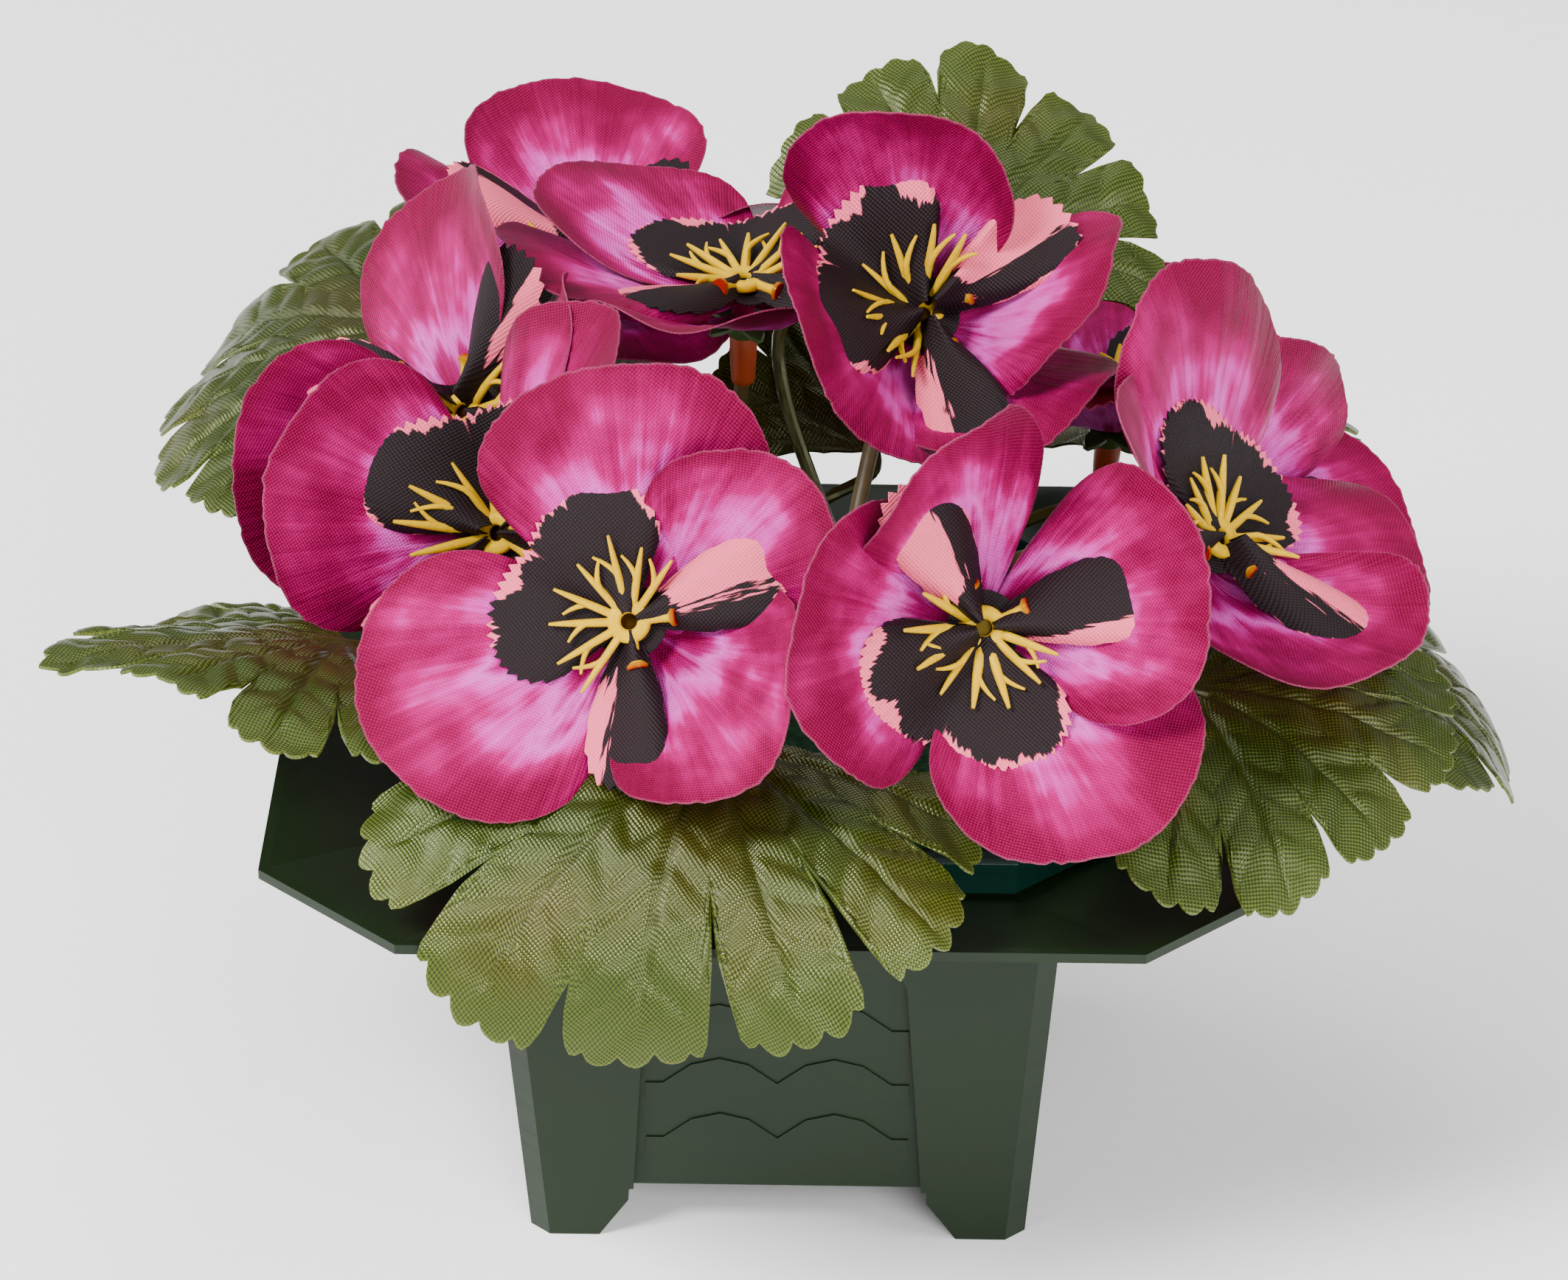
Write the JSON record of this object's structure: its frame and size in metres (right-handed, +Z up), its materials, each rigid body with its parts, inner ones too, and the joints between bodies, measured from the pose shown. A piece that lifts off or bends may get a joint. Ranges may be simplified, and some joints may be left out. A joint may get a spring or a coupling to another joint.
{
  "type": "artificial potted pansy planter",
  "caption": "Artificial potted pansy arrangement: pink fabric blooms and lobed fabric leaves on plastic stems in a square footed dark green planter with a wide eight-sided brim.",
  "frame": {"origin": "middle of the whole arrangement's outline from above, on the surface the planter stands on", "axes": "+Z up, front of the planter towards -Y, +X to the right seen from the front"},
  "size_m": [0.2048, 0.183, 0.1576],
  "materials": {
    "planter_green": "matte moulded shell with a glossier brim",
    "insert_green": "smooth semi-gloss moulded ring",
    "foam": "fine open-cell floral foam",
    "petal_fabric": "stiffened printed woven fabric, pink shading to magenta",
    "face_fabric": "printed woven fabric, black-brown and coral pink with a pinked edge",
    "stamen_yellow": "soft moulded plastic with a waxy sheen",
    "stem_plastic": "moulded plastic, green calyx, orange socket and brown stem",
    "leaf_fabric": "stiffened woven fabric with pressed veins and a light coating"
  },
  "bodies": {
    "root": {"planter_body": "planter_green", "insert_ring": "insert_green", "foam_block": "foam", "pansy_1_petals": "petal_fabric", "pansy_1_face": "face_fabric", "pansy_1_stamens": "stamen_yellow", "pansy_1_stalk": "stem_plastic", "pansy_2_petals": "petal_fabric", "pansy_2_face": "face_fabric", "pansy_2_stamens": "stamen_yellow", "pansy_2_stalk": "stem_plastic", "pansy_3_petals": "petal_fabric", "pansy_3_face": "face_fabric", "pansy_3_stamens": "stamen_yellow", "pansy_3_stalk": "stem_plastic", "pansy_4_petals": "petal_fabric", "pansy_4_face": "face_fabric", "pansy_4_stamens": "stamen_yellow", "pansy_4_stalk": "stem_plastic", "pansy_5_petals": "petal_fabric", "pansy_5_face": "face_fabric", "pansy_5_stamens": "stamen_yellow", "pansy_5_stalk": "stem_plastic", "pansy_6_petals": "petal_fabric", "pansy_6_face": "face_fabric", "pansy_6_stamens": "stamen_yellow", "pansy_6_stalk": "stem_plastic", "pansy_7_petals": "petal_fabric", "pansy_7_face": "face_fabric", "pansy_7_stamens": "stamen_yellow", "pansy_7_stalk": "stem_plastic", "pansy_8_petals": "petal_fabric", "pansy_8_face": "face_fabric", "pansy_8_stamens": "stamen_yellow", "pansy_8_stalk": "stem_plastic", "pansy_9_petals": "petal_fabric", "pansy_9_face": "face_fabric", "pansy_9_stamens": "stamen_yellow", "pansy_9_stalk": "stem_plastic", "pansy_10_petals": "petal_fabric", "pansy_10_face": "face_fabric", "pansy_10_stamens": "stamen_yellow", "pansy_10_stalk": "stem_plastic", "leaf_1": "leaf_fabric", "leaf_2": "leaf_fabric", "leaf_3": "leaf_fabric", "leaf_4": "leaf_fabric", "leaf_5": "leaf_fabric", "leaf_6": "leaf_fabric", "leaf_7": "leaf_fabric", "leaf_8": "leaf_fabric", "leaf_9": "leaf_fabric"}
  },
  "joints": []
}
